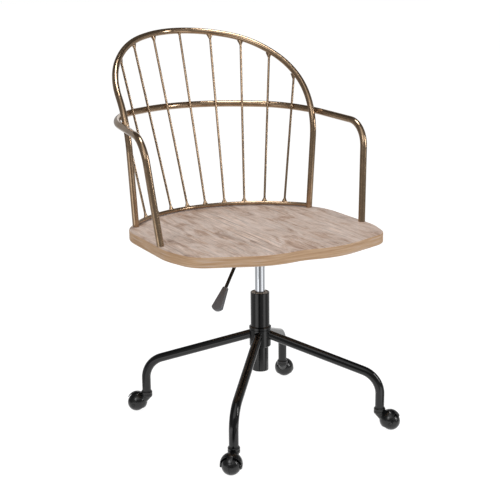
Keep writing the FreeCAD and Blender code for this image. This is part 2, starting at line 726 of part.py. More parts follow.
def draw_rectangle(sketch, wide, long):
    draw_polygon(sketch, [("-%s / 2" % wide, "-%s / 2" % long), ("%s / 2" % wide, "-%s / 2" % long),
                          ("%s / 2" % wide, "%s / 2" % long), ("-%s / 2" % wide, "%s / 2" % long)])


def round_uprights(body, block, radius):
    DOC.recompute()
    names = []
    for i, edge in enumerate(block.Shape.Edges, 1):
        a, b = edge.Vertexes[0].Point, edge.Vertexes[-1].Point
        if abs(a.x - b.x) + abs(a.y - b.y) < 0.001 and a.z != b.z:
            names.append("Edge%d" % i)
    rounded = body.newObject("PartDesign::Fillet", "rounded")
    rounded.Base = (block, names)
    rounded.setExpression("Radius", bound(radius))
    DOC.recompute()


def build_plate():
    body = new_body("mechanism_plate")
    sheet = new_sketch(body, "XY_Plane", "seat_top - seat_thick")
    draw_rectangle(sheet, "plate_wide", "plate_long")
    block = pad(body, sheet, "plate_thick", down=True)
    round_uprights(body, block, "plate_corner")
    holes = new_sketch(body, "XY_Plane", "seat_top - seat_thick")
    for across in ("bolts_wide / 2", "-bolts_wide / 2"):
        for back in ("bolts_long / 2", "-bolts_long / 2"):
            draw_circle(holes, across, back, "screw_thread / 2 + run_gap")
    pocket(body, holes)
    DOC.recompute()


def lever_frame():
    """Rotation that turns +X outward along the lever, seen from above."""
    return FreeCAD.Rotation(UP, number("lever_turn"))


def build_box():
    top = "seat_top - seat_thick - plate_thick"
    body = new_body("box_pressing")
    outline = new_sketch(body, "XY_Plane", top)
    draw_rectangle(outline, "box_wide", "box_long")
    block = pad(body, outline, "box_high", down=True)
    round_uprights(body, block, "box_corner")
    inside = new_sketch(body, "XY_Plane", top)
    draw_rectangle(inside, "(box_wide - 2 * box_wall)", "(box_long - 2 * box_wall)")
    pocket(body, inside, "box_high - box_wall")
    DOC.recompute()
    hole = new_sketch(body, "XY_Plane", top)
    draw_circle(hole, "0", "0", "socket_outer / 2 + fit_gap")
    pocket(body, hole, "box_high * 2")
    DOC.recompute()
    slot = DOC.addObject("Part::Box", "lever_slot")
    slot.setExpression("Length", bound("box_long"))
    slot.setExpression("Width", bound("lever_rod + 3"))
    slot.setExpression("Height", bound("box_high"))
    turn = lever_frame()
    corner = turn.multVec(vector("0", "-(lever_rod + 3) / 2", "0"))
    slot.Placement = FreeCAD.Placement(corner + vector("0", "0", "lever_height - 7"), turn)
    cut = DOC.addObject("Part::Cut", "mechanism_box")
    cut.Label = "mechanism_box"
    cut.Base = body
    cut.Tool = slot
    DOC.recompute()


def build_socket():
    bore = "rod_outer / 2 + fit_gap"
    floor = "seat_top - seat_thick - plate_thick - box_high"
    turned_body("column_socket", [
        (bore, "socket_foot"), ("socket_mouth / 2 - 0.8", "socket_foot"),
        ("socket_mouth / 2", "socket_foot + 0.8"), ("socket_outer / 2", floor),
        ("socket_outer / 2", floor + " + box_wall"), (bore, floor + " + box_wall")])


def build_seat_fasteners():
    under = number("seat_top - seat_thick")
    screws = []
    inserts = []
    for x in (-1, 1):
        for y in (-1, 1):
            spot = FreeCAD.Vector(x * number("bolts_wide / 2"), y * number("bolts_long / 2"), under)
            insert = rod_along(number("insert_outer / 2"), spot, UP, 0, number("insert_long"))
            bore = rod_along(number("screw_thread / 2 + fit_gap"), spot, UP, -1, number("insert_long") + 1)
            inserts.append(insert.cut(bore))
            low = -number("plate_thick")
            shank = rod_along(number("screw_thread / 2"), spot, UP, low, low + number("screw_long"))
            high = number("screw_head_high")
            head = Part.makeCone(number("screw_head / 2 - 1.2"), number("screw_head / 2"), high,
                                 spot + UP * (low - high))
            key = hexagon(number("screw_head / 5"), 2.2)
            key.translate(spot + UP * (low - high - 0.1))
            screws.append(shank.fuse(head).removeSplitter().cut(key))
    plain_piece("seat_screws", Part.makeCompound(screws))
    plain_piece("seat_inserts", Part.makeCompound(inserts))


def lever_points():
    """Inner end, elbow, start of the paddle and its fall, in the lever's upright plane."""
    fall = math.radians(number("lever_fall"))
    height = number("lever_height")
    inner = FreeCAD.Vector(-number("lever_inner"), 0, height)
    elbow = FreeCAD.Vector(number("lever_elbow"), 0, height)
    down = FreeCAD.Vector(math.cos(fall), 0, -math.sin(fall))
    return inner, elbow, down


def build_lever():
    inner, elbow, down = lever_points()
    neck = elbow + down * number("lever_down")
    tip = neck + down * number("lever_spigot")
    reach = number("lever_bend") * math.tan(math.radians(number("lever_fall")) / 2)
    path = bent_path([inner, elbow, neck], [0, reach, 0])
    rod = swept(path, number("lever_rod / 2"))
    spigot = Part.makeCylinder(number("spigot_rod / 2"), neck.distanceToPoint(tip), neck, down)
    pivot = FreeCAD.Vector(number("lever_pivot"), 0, number("lever_height"))
    hole = Part.makeCylinder(number("pivot_pin / 2 + run_gap"), 40, pivot - FreeCAD.Vector(0, 20, 0),
                             FreeCAD.Vector(0, 1, 0))
    rod = rod.fuse(spigot).removeSplitter().cut(hole)
    turned = FreeCAD.Placement(ORIGIN, lever_frame())
    rod.Placement = turned
    plain_piece("lever_rod", rod)
    paddle = paddle_shape()
    bore = Part.makeCylinder(number("spigot_rod / 2 + fit_gap"), number("lever_spigot + 1"))
    paddle = paddle.cut(bore)
    paddle.Placement = turned.multiply(along(neck, down))
    plain_piece("lever_paddle", paddle)


def paddle_shape():
    """The paddle standing on its neck: X is its thickness and Y its width."""
    long = number("paddle_long")
    narrow = number("paddle_narrow / 2")
    wide = number("paddle_wide / 2")
    bow = wide * 0.55
    low = [FreeCAD.Vector(0, -narrow, 0), FreeCAD.Vector(0, narrow, 0)]
    high = [FreeCAD.Vector(0, wide, long - bow), FreeCAD.Vector(0, -wide, long - bow)]
    edges = [
        Part.LineSegment(low[0], low[1]),
        Part.LineSegment(low[1], high[0]),
        Part.Arc(high[0], FreeCAD.Vector(0, 0, long), high[1]),
        Part.LineSegment(high[1], low[0]),
    ]
    face = Part.Face(Part.Wire([edge.toShape() for edge in edges]))
    thick = number("paddle_thick")
    blade = face.extrude(FreeCAD.Vector(thick, 0, 0))
    blade.translate(FreeCAD.Vector(-thick / 2, 0, 0))
    sides = [edge for edge in blade.Edges
             if abs(abs(edge.CenterOfMass.x) - thick / 2) < 0.01 and edge.CenterOfMass.z > 1]
    return blade.makeFillet(number("paddle_round"), sides)


def build_lever_bracket():
    top = number("seat_top - seat_thick - plate_thick")
    pivot = FreeCAD.Vector(number("lever_pivot"), 0, number("lever_height"))
    inside = number("lever_rod / 2 + cheek_gap")
    thick = number("cheek_thick")
    half = number("cheek_long / 2")
    across = FreeCAD.Vector(0, 1, 0)
    pin_radius = number("pivot_pin / 2")
    low = top - number("cheek_drop")
    bridge = Part.makeBox(2 * half, 2 * (inside + thick), 2,
                          FreeCAD.Vector(pivot.x - half, -inside - thick, top - 2))
    cheeks = [bridge]
    for side in (-1, 1):
        start = inside if side > 0 else -inside - thick
        cheeks.append(Part.makeBox(2 * half, thick, top - low,
                                   FreeCAD.Vector(pivot.x - half, start, low)))
    bracket = cheeks[0].fuse(cheeks[1:]).removeSplitter()
    corners = [edge for edge in bracket.Edges
               if abs(edge.CenterOfMass.z - low) < 0.01 and edge.Length < thick + 0.01]
    bracket = bracket.makeFillet(5, corners)
    long = inside + thick
    hole = Part.makeCylinder(pin_radius + number("fit_gap"), 40, pivot - across * 20, across)
    bracket = bracket.cut(hole)
    pin = Part.makeCylinder(pin_radius, 2 * long, pivot - across * long, across)
    heads = [Part.makeCylinder(pin_radius * 1.7, 1, pivot - across * (long + 1), across),
             Part.makeCylinder(pin_radius * 1.7, 1, pivot + across * long, across)]
    pin = pin.fuse(heads).removeSplitter()
    turned = FreeCAD.Placement(ORIGIN, lever_frame())
    bracket.Placement = turned
    pin.Placement = turned
    plain_piece("lever_bracket", bracket)
    plain_piece("lever_pivot_pin", pin)


# Base

def leg_shape():
    """The leg that points along +X."""
    slope = math.tan(math.radians(number("leg_slope")))
    reach = number("leg_reach")
    root = number("leg_root")
    start = FreeCAD.Vector(8, 0, root - slope * 8)
    knee = FreeCAD.Vector(reach, 0, root - slope * reach)
    end = FreeCAD.Vector(reach, 0, number("leg_end"))
    turn = math.radians(90 - number("leg_slope"))
    path = bent_path([start, knee, end], [0, number("leg_bend") * math.tan(turn / 2), 0])
    tube = hollow(path, number("leg_tube"), number("leg_wall"))
    hub = Part.makeCylinder(number("hub_outer / 2"), 400)
    return keep_largest(tube.cut(hub))


def build_base():
    leg = leg_shape()
    socket = Part.makeCylinder(number("leg_tube / 2 - leg_wall - fit_gap"), number("socket_up"))
    flange = Part.makeCylinder(number("socket_flange / 2"), number("flange_high"),
                               vector("0", "0", "-flange_high"))
    bore = Part.makeCylinder(number("stem / 2 + run_gap"), number("socket_up"),
                             vector("0", "0", "-flange_high"))
    socket = socket.fuse(flange).removeSplitter().cut(bore)
    sockets = []
    for i, name in enumerate(LEGS):
        turn = FreeCAD.Rotation(UP, number("leg_turn") + 90 * i)
        piece = leg.copy()
        piece.Placement = FreeCAD.Placement(ORIGIN, turn)
        plain_piece("leg_" + name, piece)
        piece = socket.copy()
        piece.Placement = FreeCAD.Placement(turn.multVec(vector("leg_reach", "0", "leg_end")), turn)
        sockets.append(piece)
    plain_piece("caster_sockets", Part.makeCompound(sockets))


# Casters, trailing along +X from a swivel axis at the origin

def boss_top():
    return number("leg_end - flange_high - swivel_gap")


def boss_shape():
    top = boss_top()
    low = top - number("boss_high")
    middle = (top + low) / 2
    outer = number("boss_outer / 2")
    inner = outer - number("boss_groove")
    profile = [(0, low), (outer - 1, low), (outer, low + 1), (outer, middle - 0.9),
               (inner, middle - 0.5), (inner, middle + 0.5), (outer, middle + 0.9),
               (outer, top - 1), (outer - 1, top), (0, top), (0, low)]
    wire = Part.makePolygon([FreeCAD.Vector(r, 0, z) for r, z in profile])
    return Part.Face(wire).revolve(ORIGIN, UP, 360)


def tilted_space(centre, degrees):
    """Everything above a plane that is tilted about the axle."""
    space = Part.makeBox(120, 120, 60, FreeCAD.Vector(-60, -60, 0))
    turn = FreeCAD.Rotation(FreeCAD.Vector(0, 1, 0), degrees)
    space.Placement = FreeCAD.Placement(centre, turn)
    return space


def level_slab(low, high):
    """Everything between two heights."""
    wide = number("leg_reach")
    return Part.makeBox(wide, wide, high - low, FreeCAD.Vector(-wide / 2, -wide / 2, low))


def axle_rod(centre, radius, half):
    across = FreeCAD.Vector(0, 1, 0)
    return Part.makeCylinder(radius, 2 * half, centre - across * half, across)


def hood_shape(centre, hood_centre):
    """A shell over the inner side of the ball, a tongue over its top and an ear at each end."""
    inner = number("hood_inner")
    outer = inner + number("hood_wall")
    ball = Part.makeSphere(outer, hood_centre)
    low = number("hood_low")
    cover = tilted_space(centre, -number("hood_rim"))
    floor = Part.makeBox(120, 120, 80, centre - FreeCAD.Vector(60, 60, low))
    half = number("tongue_half")
    tongue = Part.makeBox(60, 2 * half, 60, centre - FreeCAD.Vector(0, half, 0))
    tongue = tongue.common(tilted_space(centre, -number("tongue_end")))
    ears = axle_rod(centre, number("ear_radius"), number("ear_side"))
    shell = ball.common(cover.common(floor).fuse(tongue))
    shell = shell.cut(Part.makeSphere(inner, hood_centre))
    ear_inner = axle_rod(centre, number("ear_radius + 1"), number("ear_side - ear_wall"))
    beyond = axle_rod(centre, number("ear_radius"), number("ball"))
    return shell.fuse(ears.cut(ear_inner)).cut(beyond.cut(axle_rod(centre, number("ear_radius + 1"), number("ear_side"))))


def housing_shape():
    centre = vector("trail", "0", "ball / 2")
    hood_centre = vector("trail - hood_back", "0", "ball / 2 + hood_up")
    hood = hood_shape(centre, hood_centre)
    fall = math.radians(number("neck_fall"))
    lean = FreeCAD.Vector(math.cos(fall), 0, -math.sin(fall))
    start = FreeCAD.Vector(0, 0, boss_top() - number("boss_high") + 3) - lean * number("neck_start")
    neck = Part.makeCylinder(number("neck_outer / 2"), number("neck_long"), start, lean)
    neck = neck.common(level_slab(number("ball / 2 - hood_low"), boss_top() - 1))
    housing = boss_shape().fuse(neck).cut(Part.makeSphere(number("hood_inner"), hood_centre))
    housing = housing.fuse(hood).removeSplitter()
    axle = axle_rod(centre, number("axle / 2 + fit_gap"), 40)
    stem = Part.makeCylinder(number("stem / 2 + fit_gap"), 40,
                             FreeCAD.Vector(0, 0, boss_top() - number("stem_down")))
    room = Part.makeCylinder(number("socket_flange / 2 + flange_room"), 60, FreeCAD.Vector(0, 0, boss_top()))
    return keep_largest(housing.cut([axle, stem, room]))


def wheel_shape(side):
    centre = vector("trail", "0", "ball / 2")
    across = FreeCAD.Vector(0, side, 0)
    ball = Part.makeSphere(number("ball / 2"), centre)
    near = number("ball_split / 2")
    far = number("ball_flat")
    slice_ = Part.makeCylinder(40, far - near, centre + across * near, across)
    bore = Part.makeCylinder(number("axle / 2 + run_gap"), 60, centre, across)
    hollowed = Part.makeCylinder(number("ball / 2 - 4"), 6, centre + across * near, across)
    core = Part.makeCylinder(number("axle / 2 + 3"), 6, centre + across * near, across)
    return ball.common(slice_).cut([bore, hollowed.cut(core)])


def axle_shape():
    centre = vector("trail", "0", "ball / 2")
    across = FreeCAD.Vector(0, 1, 0)
    side = number("ear_side")
    high = number("axle_head_high")
    rod = Part.makeCylinder(number("axle / 2"), 2 * side, centre - across * side, across)
    wide = number("axle_head / 2")
    heads = [Part.makeCone(wide, wide - 0.6, high, centre + across * side, across),
             Part.makeCone(wide, wide - 0.6, high, centre - across * side, across * -1)]
    return rod.fuse(heads).removeSplitter()


def stem_shape():
    foot = FreeCAD.Vector(0, 0, boss_top() - number("stem_down"))
    long = number("stem_down + stem_up")
    radius = number("stem / 2")
    rod = Part.makeCylinder(radius, long - 1.5, foot)
    tip = Part.makeCone(radius, radius - 1.5, 1.5, foot + UP * (long - 1.5))
    return rod.fuse(tip).removeSplitter()


def build_casters():
    shapes = {
        "caster_housing_%s": housing_shape(),
        "caster_stem_%s": stem_shape(),
        "caster_axle_%s": axle_shape(),
        "caster_wheel_a_%s": wheel_shape(1),
        "caster_wheel_b_%s": wheel_shape(-1),
    }
    for i, name in enumerate(LEGS):
        turn = FreeCAD.Rotation(UP, number("leg_turn") + 90 * i)
        place = FreeCAD.Placement(turn.multVec(vector("leg_reach", "0", "0")), turn)
        for label, shape in shapes.items():
            piece = shape.copy()
            piece.Placement = place.multiply(piece.Placement)
            plain_piece(label % name, piece)


HELPERS = ("seat_board", "box_pressing", "lever_slot", "drills")


def is_piece(item):
    if item.Label in HELPERS:
        return False
    if item.TypeId == "PartDesign::Body":
        return True
    return item.TypeId in ("Part::Feature", "Part::Cut")


def check_and_export():
    DOC.recompute()
    for item in DOC.Objects:
        if "Invalid" in item.State or "Error" in item.State:
            raise RuntimeError("%s is %s" % (item.Label, item.State))
    names = []
    for item in DOC.Objects:
        if not is_piece(item):
            continue
        shape = item.Shape
        if shape.isNull() or not shape.isValid() or not shape.Solids:
            raise RuntimeError(item.Label + " is not a sound solid")
        shape.exportStep("parts/%s.step" % item.Label)
        names.append(item.Label)
    print(len(names), "pieces")


def main():
    os.makedirs("parts", exist_ok=True)
    fill_sheet()
    build_back()
    build_frame_fasteners()
    build_seat()
    build_column()
    build_gas_spring()
    build_plate()
    build_box()
    build_socket()
    build_seat_fasteners()
    build_lever()
    build_lever_bracket()
    build_base()
    build_casters()
    check_and_export()


main()
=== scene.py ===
"""Looks of a swivel armchair: limed wooden seat, bronzed tube and spindle back, gloss black base on ball casters."""

import math

import bmesh
import bpy
import numpy as np
from mathutils import Matrix, Vector


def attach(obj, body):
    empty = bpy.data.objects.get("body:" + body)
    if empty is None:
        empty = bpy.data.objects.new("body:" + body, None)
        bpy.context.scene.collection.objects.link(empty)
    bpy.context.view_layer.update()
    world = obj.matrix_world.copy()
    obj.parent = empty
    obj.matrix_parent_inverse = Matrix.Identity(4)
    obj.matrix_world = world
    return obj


bl_info = {
    "name": "Spindle-back Swivel Chair",
    "version": (1, 0, 0),
    "blender": (4, 5, 0),
    "location": "3D View > Sidebar > Chair",
    "description": "Finishes a spindle-back swivel chair and sets its studio",
    "category": "Object",
}

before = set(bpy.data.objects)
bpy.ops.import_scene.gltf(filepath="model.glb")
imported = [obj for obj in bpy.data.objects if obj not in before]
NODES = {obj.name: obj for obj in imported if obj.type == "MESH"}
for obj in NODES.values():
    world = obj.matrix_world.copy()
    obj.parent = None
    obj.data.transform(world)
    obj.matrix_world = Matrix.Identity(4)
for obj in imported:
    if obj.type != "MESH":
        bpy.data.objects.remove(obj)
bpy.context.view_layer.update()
MM = 0.001


def hex_to_linear(code):
    """A linear RGBA colour from an sRGB hex code such as "#C8B6AA"."""
    code = code.lstrip("#")
    channels = [int(code[i:i + 2], 16) / 255 for i in (0, 2, 4)]
    linear = [c / 12.92 if c <= 0.04045 else ((c + 0.055) / 1.055) ** 2.4 for c in channels]
    return (*linear, 1.0)


def hex_value(name, default, description):
    """A property that holds a colour as an sRGB hex code."""
    return bpy.props.StringProperty(name=name, default=default, description=description)


def measure(name, default, description, **kind):
    """A property that holds a number, with its unit or subtype in `kind`."""
    return bpy.props.FloatProperty(name=name, default=default, description=description, **kind)


class WoodLook(bpy.types.PropertyGroup):
    """Colours and grain of the limed seat board."""

    wash: hex_value("Lime wash", "#C9B6AA", "Colour of the lime left on the top")
    wood: hex_value("Wood", "#AE917D", "Colour of the wood under the lime")
    pore: hex_value("Pores", "#876A57", "Colour of the open pores and dark grain")
    edge: hex_value("Edge", "#C8A684", "Colour of the bare edge of the board")
    edge_shade: hex_value("Edge shade", "#B08A66", "Darker tone of the bare edge")
    plank: measure("Stave width", 0.118, "Width of the glued staves", unit="LENGTH")
    plank_shift: measure("Stave shift", 0.37, "Sideways place of the staves, in staves")
    streak: measure("Streak width", 0.0042, "Width of a streak of grain", unit="LENGTH")
    brush: measure("Brush mark width", 0.0016, "Width of a wire-brush mark", unit="LENGTH")


class FrameLook(bpy.types.PropertyGroup):
    """Finish of the back frame and the size of its welds."""

    bronze: hex_value("Bronze", "#B0967A", "Colour of the bronzed lacquer")
    shade: hex_value("Bronze shade", "#967C61", "Darker tone of the bronzed lacquer")
    weld: measure("Weld bead", 0.0016, "Half the thickness of a weld bead", unit="LENGTH")
    spread: measure("Fillet spread", 0.0095, "Reach of an end weld along the tube", unit="LENGTH")
    rise: measure("Fillet rise", 0.0125, "Height of an end weld along the spindle", unit="LENGTH")


class BaseLook(bpy.types.PropertyGroup):
    """Finishes of the base, the column, the lever and the casters."""

    enamel: hex_value("Enamel", "#070708", "Colour of the gloss black enamel")
    nylon: hex_value("Nylon", "#09090A", "Colour of the moulded black nylon")
    # The paddle's mid grey is a painted sheen: the paddle is black nylon, and this grey stands in for the glare of the
    # lamps on its face.
    paddle: hex_value("Paddle", "#606064", "Colour of the lever's paddle")
    chrome: hex_value("Chrome", "#DADDE2", "Colour of the chromed cylinder")
    grey: hex_value("Bush", "#A9A69F", "Colour of the grey guide bush")
    steel: hex_value("Steel", "#B9BBBD", "Colour of the plated steel")


class StudioLook(bpy.types.PropertyGroup):
    """Camera, lamps and surroundings."""

    lens: measure("Lens", 79.75, "Focal length on a 36 mm sensor, in millimetres")
    tilt: measure("Tilt", math.radians(13.794), "How far the camera looks down", subtype="ANGLE")
    roll: measure("Roll", math.radians(-0.475), "How far the camera leans", subtype="ANGLE")
    heading: measure("Heading", math.radians(26.993), "How far the view is turned from straight back", subtype="ANGLE")
    place: bpy.props.FloatVectorProperty(
        name="Place", default=(-1.1885, -2.2824, 1.0650), size=3, unit="LENGTH", description="Where the camera stands")
    key: measure("Key lamp", 42.0, "Power of the key lamp, in watts")
    fill: measure("Fill lamp", 26.0, "Power of the fill lamp, in watts")
    top: measure("Top lamp", 26.0, "Power of the top lamp, in watts")
    sky: measure("Sky", 0.42, "Strength of the soft light from the white surroundings")
    paper_glow: measure("Paper glow", 1.2, "How bright the glow of the paper is")
    paper_share: measure("Paper share", 0.8, "Share of the glow in what is seen of the paper")


GROUPS = {"chair_wood": WoodLook, "chair_frame": FrameLook, "chair_base": BaseLook, "chair_studio": StudioLook}


def look(name):
    return getattr(bpy.context.scene, name)


# Materials

def new_material(name):
    """A material that holds only its output and an empty tree."""
    made = bpy.data.materials.new(name)
    made.use_nodes = True
    made.node_tree.nodes.clear()
    return made, made.node_tree


def add(tree, kind, inputs=None, stops=None, **settings):
    """Add a node, give it its settings and colour stops, and set or link its inputs."""
    made = tree.nodes.new(kind)
    for key, value in settings.items():
        setattr(made, key, value)
    if stops:
        while len(made.color_ramp.elements) < len(stops):
            made.color_ramp.elements.new(0.5)
        for element, (place, colour) in zip(made.color_ramp.elements, stops):
            element.position = place
            element.color = colour if len(colour) == 4 else hex_to_linear(colour)
    for key, value in (inputs or {}).items():
        if isinstance(value, bpy.types.NodeSocket):
            tree.links.new(value, made.inputs[key])
        else:
            made.inputs[key].default_value = value
    return made


def grey(value):
    return (value, value, value, 1.0)


def object_place(tree):
    """Coordinates in metres that stay with the piece."""
    return add(tree, "ShaderNodeTexCoord").outputs["Object"]


def scaled(tree, source, scale):
    return add(tree, "ShaderNodeMapping", {"Vector": source, "Scale": scale}).outputs["Vector"]


def stretched(tree, source, width, length, turn=0.0):
    """Coordinates in which one unit is `width` across the grain and `length` along it."""
    return add(tree, "ShaderNodeMapping", {
        "Vector": source, "Rotation": (0.0, 0.0, turn),
        "Scale": (1 / width, 1 / length, 1 / width)}).outputs["Vector"]


def noise(tree, place, size, detail, roughness=0.5, distortion=0.0):
    """Noise of a size; coordinates that are already stretched take size 1."""
    return add(tree, "ShaderNodeTexNoise", {
        "Vector": place, "Scale": 1 / size, "Detail": detail, "Roughness": roughness,
        "Distortion": distortion}).outputs["Fac"]


def ramp(tree, value, *stops):
    return add(tree, "ShaderNodeValToRGB", {"Fac": value}, stops=stops).outputs["Color"]


def ranged(tree, value, low, high, start=0.0, end=1.0):
    """Runs from `low` to `high` while the value runs from `start` to `end`."""
    return add(tree, "ShaderNodeMapRange", {
        "Value": value, "From Min": start, "From Max": end, "To Min": low, "To Max": high}).outputs["Result"]


def calc(tree, kind, *values):
    return add(tree, "ShaderNodeMath", dict(enumerate(values)), operation=kind).outputs[0]


def mixed(tree, factor, first, second, blend="MIX"):
    return add(tree, "ShaderNodeMix", {"Factor": factor, "A": first, "B": second},
               data_type="RGBA", blend_type=blend).outputs["Result"]


def bumped(tree, height, strength, distance):
    """A normal shaken by a height, whose full relief is `distance` metres."""
    return add(tree, "ShaderNodeBump", {
        "Height": height, "Strength": strength, "Distance": distance}).outputs["Normal"]


def principled(tree, inputs):
    """End a material's tree with a principled surface."""
    shader = add(tree, "ShaderNodeBsdfPrincipled", inputs)
    add(tree, "ShaderNodeOutputMaterial", {"Surface": shader.outputs["BSDF"]})


# Middles of the two zones where the grain was brushed out deepest, in metres from the column's axis, and how far
# such a zone reaches across and along the grain.
GRAIN_ZONES = ((-0.02, 0.145), (-0.05, -0.08))
ZONE_REACH = (0.07, 0.13)
# How far the grain is shifted from stave to stave at the most, in metres.
STAVE_OFFSET = (0.9, 1.7, 0.6)


def grain_zone(tree, place, middle):
    """0.85 round the middle of a deeply brushed zone, falling to 0 at the zone's reach."""
    across, along = ZONE_REACH
    offset = add(tree, "ShaderNodeMapping", {
        "Vector": place, "Location": (-middle[0] / across, -middle[1] / along, 0.0),
        "Scale": (1 / across, 1 / along, 0.0)})
    length = add(tree, "ShaderNodeVectorMath", {0: offset.outputs["Vector"]}, operation="LENGTH")
    return ranged(tree, length.outputs["Value"], 0.85, 0.0, start=0.3)


def staves(tree, place, wood):
    """How many staves a point lies across the board, and coordinates that give each stave a run of grain of its own."""
    across = add(tree, "ShaderNodeSeparateXYZ", {"Vector": place}).outputs["X"]
    count = calc(tree, "ADD", calc(tree, "DIVIDE", across, wood.plank), wood.plank_shift)
    tone = add(tree, "ShaderNodeTexWhiteNoise", {"W": calc(tree, "FLOOR", count)}, noise_dimensions="1D")
    shift = add(tree, "ShaderNodeVectorMath", {0: tone.outputs["Color"], 1: STAVE_OFFSET}, operation="MULTIPLY")
    run = add(tree, "ShaderNodeVectorMath", {0: place, 1: shift.outputs["Vector"]}, operation="ADD")
    return count, run.outputs["Vector"]


def limed_top(tree, place, wood):
    """The board's top: brushed grain with lime rubbed in. Returns its colour, its brush marks and its lime clouds."""
    count, run = staves(tree, place, wood)
    # Slow bands of growth rings, 26 mm wide and 120 mm long.
    rings = noise(tree, stretched(tree, run, 0.026, 0.12), 1.0, 7.0, 0.68, 1.1)
    # Clouds of thicker lime, 70 mm wide and 85 mm long.
    cloud = noise(tree, stretched(tree, run, 0.07, 0.085), 1.0, 3.0, 0.6, 0.4)
    # Raised grain lines 4 mm apart that show only in some zones, which are 60 mm wide and 140 mm long.
    lines = noise(tree, stretched(tree, run, wood.streak, 0.3), 1.0, 1.5, 0.5, 0.25)
    zone = noise(tree, stretched(tree, run, 0.06, 0.14), 1.0, 2.0)
    near = [grain_zone(tree, place, middle) for middle in GRAIN_ZONES]
    shown = calc(tree, "MAXIMUM", calc(tree, "MAXIMUM", *near), ranged(tree, zone, 0.06, 0.5, start=0.5, end=0.66))
    # Wire-brush marks 1.6 mm wide and 60 mm long, drawn about twice as coarse as the real ones so that they show.
    brush = noise(tree, stretched(tree, run, wood.brush, 0.06), 1.0, 2.0, 0.7)
    # Pale smears of lime left by the cloth, 9 mm wide and 45 mm long.
    smear = noise(tree, stretched(tree, run, 0.009, 0.045, 0.35), 1.0, 2.0, distortion=0.8)
    base = ramp(tree, rings, (0.36, wood.pore), (0.46, wood.wood), (0.58, wood.wash))
    lime = ramp(tree, cloud, (0.4, grey(0.0)), (0.62, grey(0.7)))
    top = mixed(tree, lime, base, hex_to_linear(wood.wash))
    grain = ramp(tree, lines, (0.38, grey(0.5)), (0.47, grey(0.98)), (0.55, grey(1.0)), (0.63, grey(1.3)))
    top = mixed(tree, shown, top, grain, "MULTIPLY")
    marks = ramp(tree, brush, (0.36, grey(0.6)), (0.48, grey(1.0)), (0.58, grey(1.0)), (0.68, grey(1.16)))
    top = mixed(tree, 0.7, top, marks, "MULTIPLY")
    wiped = ramp(tree, smear, (0.5, grey(1.0)), (0.64, grey(1.16)))
    top = mixed(tree, 0.6, top, wiped, "MULTIPLY")
    # The joint between two staves is a thin dark line with a pale lip.
    joint = ramp(tree, calc(tree, "FRACT", count), (0.0, grey(0.72)), (0.008, grey(1.16)), (0.02, grey(1.0)),
                 (0.994, grey(1.0)), (1.0, grey(0.72)))
    return mixed(tree, 0.8, top, joint, "MULTIPLY"), brush, cloud


def limed_board():
    """Brushed and limed solid wood: soft grain brushed out, pale lime rubbed into it, a barer edge."""
    wood = look("chair_wood")
    made, tree = new_material("limed_solid_wood_brushed")
    place = object_place(tree)
    top, brush, cloud = limed_top(tree, place, wood)
    # The edge is sanded barer: soft layers 3 mm high and 80 mm long.
    layers = noise(tree, scaled(tree, place, (1 / 0.08, 1 / 0.08, 1 / 0.003)), 1.0, 3.0, 0.55)
    edge = ramp(tree, layers, (0.3, wood.edge_shade), (0.55, wood.edge), (0.75, wood.wash))
    facing = add(tree, "ShaderNodeSeparateXYZ", {"Vector": add(tree, "ShaderNodeTexCoord").outputs["Normal"]})
    upward = ranged(tree, facing.outputs["Z"], 0.0, 1.0, start=0.55, end=0.9)
    principled(tree, {
        "Base Color": mixed(tree, upward, edge, top), "Roughness": ranged(tree, cloud, 0.62, 0.5),
        "IOR": 1.45, "Normal": bumped(tree, brush, 0.3, 0.0005)})
    return made


def bronzed_lacquer():
    """Bronzed and lacquered steel tube: a satin metal with rubbed patches."""
    frame = look("chair_frame")
    made, tree = new_material("bronzed_steel_lacquered")
    place = object_place(tree)
    # Rubbed patches of the toner, 25 mm across.
    patch = noise(tree, place, 0.025, 3.0, 0.6)
    # Fine flake of the lacquer, 0.8 mm across, drawn coarse enough to break the highlight up.
    flake = noise(tree, place, 0.0008, 1.0)
    principled(tree, {
        "Base Color": ramp(tree, patch, (0.2, frame.shade), (0.7, frame.bronze)), "Metallic": 0.9,
        "Roughness": ranged(tree, flake, 0.13, 0.18), "Coat Weight": 0.25, "Coat Roughness": 0.12,
        "Normal": bumped(tree, flake, 0.008, 0.0001)})
    return made


def black_enamel():
    """Stoved gloss enamel on steel tube: deep black, wet highlights, a slight orange peel."""
    made, tree = new_material("stoved_black_enamel")
    place = object_place(tree)
    # Orange peel about 3 mm across, and a haze of dust 20 mm across.
    peel = noise(tree, place, 0.003, 1.0)
    dust = noise(tree, place, 0.02, 4.0)
    principled(tree, {
        "Base Color": hex_to_linear(look("chair_base").enamel), "Roughness": ranged(tree, dust, 0.1, 0.18),
        "IOR": 1.5, "Normal": bumped(tree, peel, 0.12, 0.0002)})
    return made


def black_nylon():
    """Moulded glass-filled nylon from a polished mould: black, glossy, with faint flow marks."""
    made, tree = new_material("moulded_black_nylon")
    place = object_place(tree)
    # Flow marks 6 mm apart and a scuff of fine dust 0.7 mm across.
    flow = noise(tree, place, 0.006, 2.0)
    scuff = noise(tree, place, 0.0007, 2.0)
    principled(tree, {
        "Base Color": hex_to_linear(look("chair_base").nylon), "Roughness": ranged(tree, flow, 0.16, 0.34),
        "IOR": 1.53, "Normal": bumped(tree, scuff, 0.05, 0.0001)})
    return made


def hard_chrome():
    """Ground and chromed gas cylinder: a mirror with hair-fine grinding rings."""
    made, tree = new_material("ground_hard_chrome")
    # Grinding rings 0.4 mm apart round the rod.
    rings = noise(tree, scaled(tree, object_place(tree), (8.0, 8.0, 1 / 0.0004)), 1.0, 1.0)
    principled(tree, {
        "Base Color": hex_to_linear(look("chair_base").chrome), "Metallic": 1.0,
        "Roughness": ranged(tree, rings, 0.06, 0.16)})
    return made


